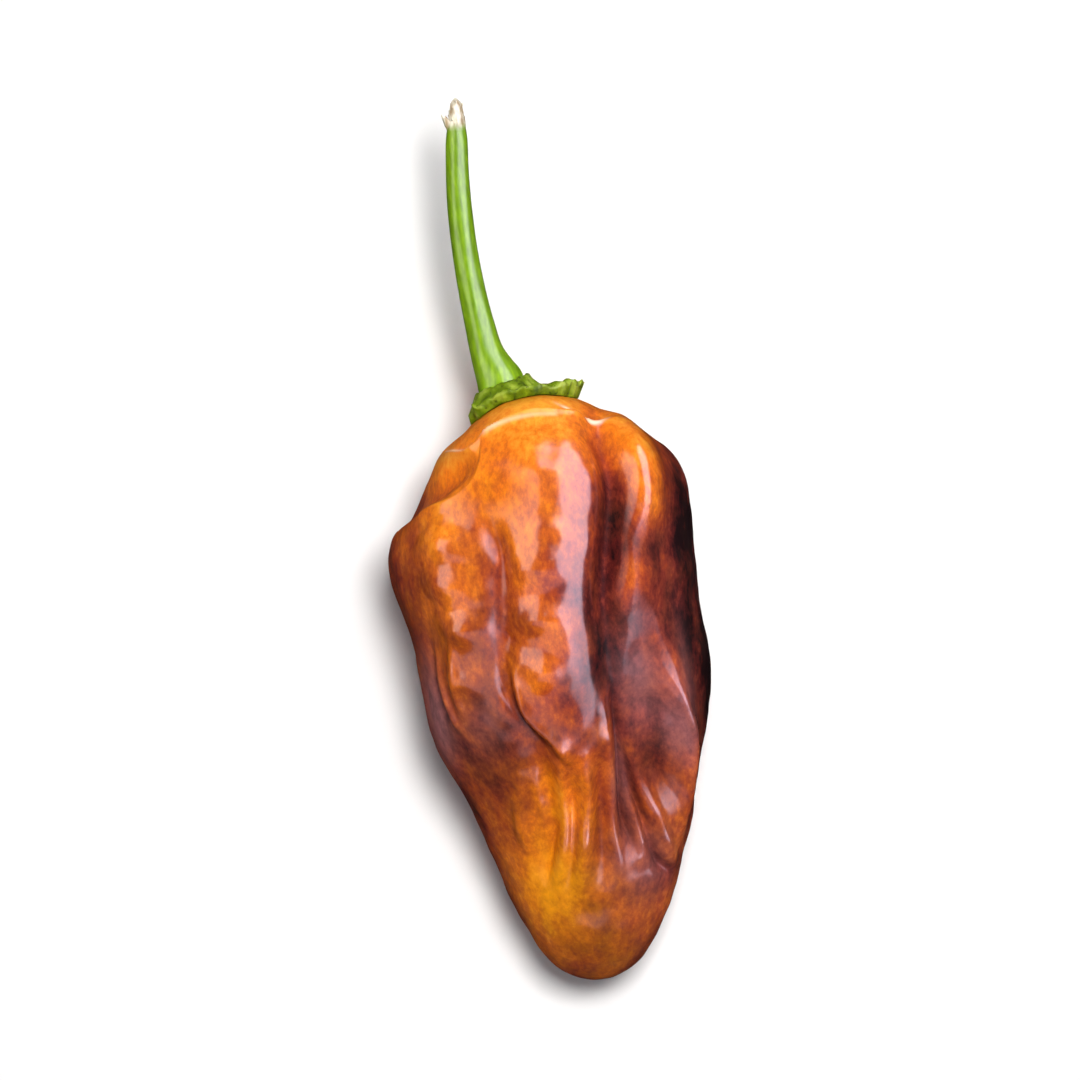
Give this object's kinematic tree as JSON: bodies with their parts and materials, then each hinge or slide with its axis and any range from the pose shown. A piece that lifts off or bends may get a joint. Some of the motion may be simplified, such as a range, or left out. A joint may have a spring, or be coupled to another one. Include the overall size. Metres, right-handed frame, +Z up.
{
  "type": "chili pepper",
  "caption": "Fresh wrinkled chili pepper with a lobed tapering pod, ragged calyx and curved stem, lying on its side.",
  "frame": {"origin": "middle of the small flat spot under the pod that it rests on", "axes": "+Y along the pod from its tip towards the stem, +X to the pod's right seen from above, +Z up, away from the resting spot"},
  "size_m": [0.0312, 0.0912, 0.0293],
  "materials": {
    "pod_skin": "smooth waxy skin, glossy, orange turning to brown and dark red",
    "calyx_green": "wrinkled leafy green, satin",
    "stem_green": "smooth yellow-green stalk with a pale torn end, satin"
  },
  "bodies": {
    "root": {"pod": "pod_skin", "calyx": "calyx_green", "stem": "stem_green"}
  },
  "joints": []
}
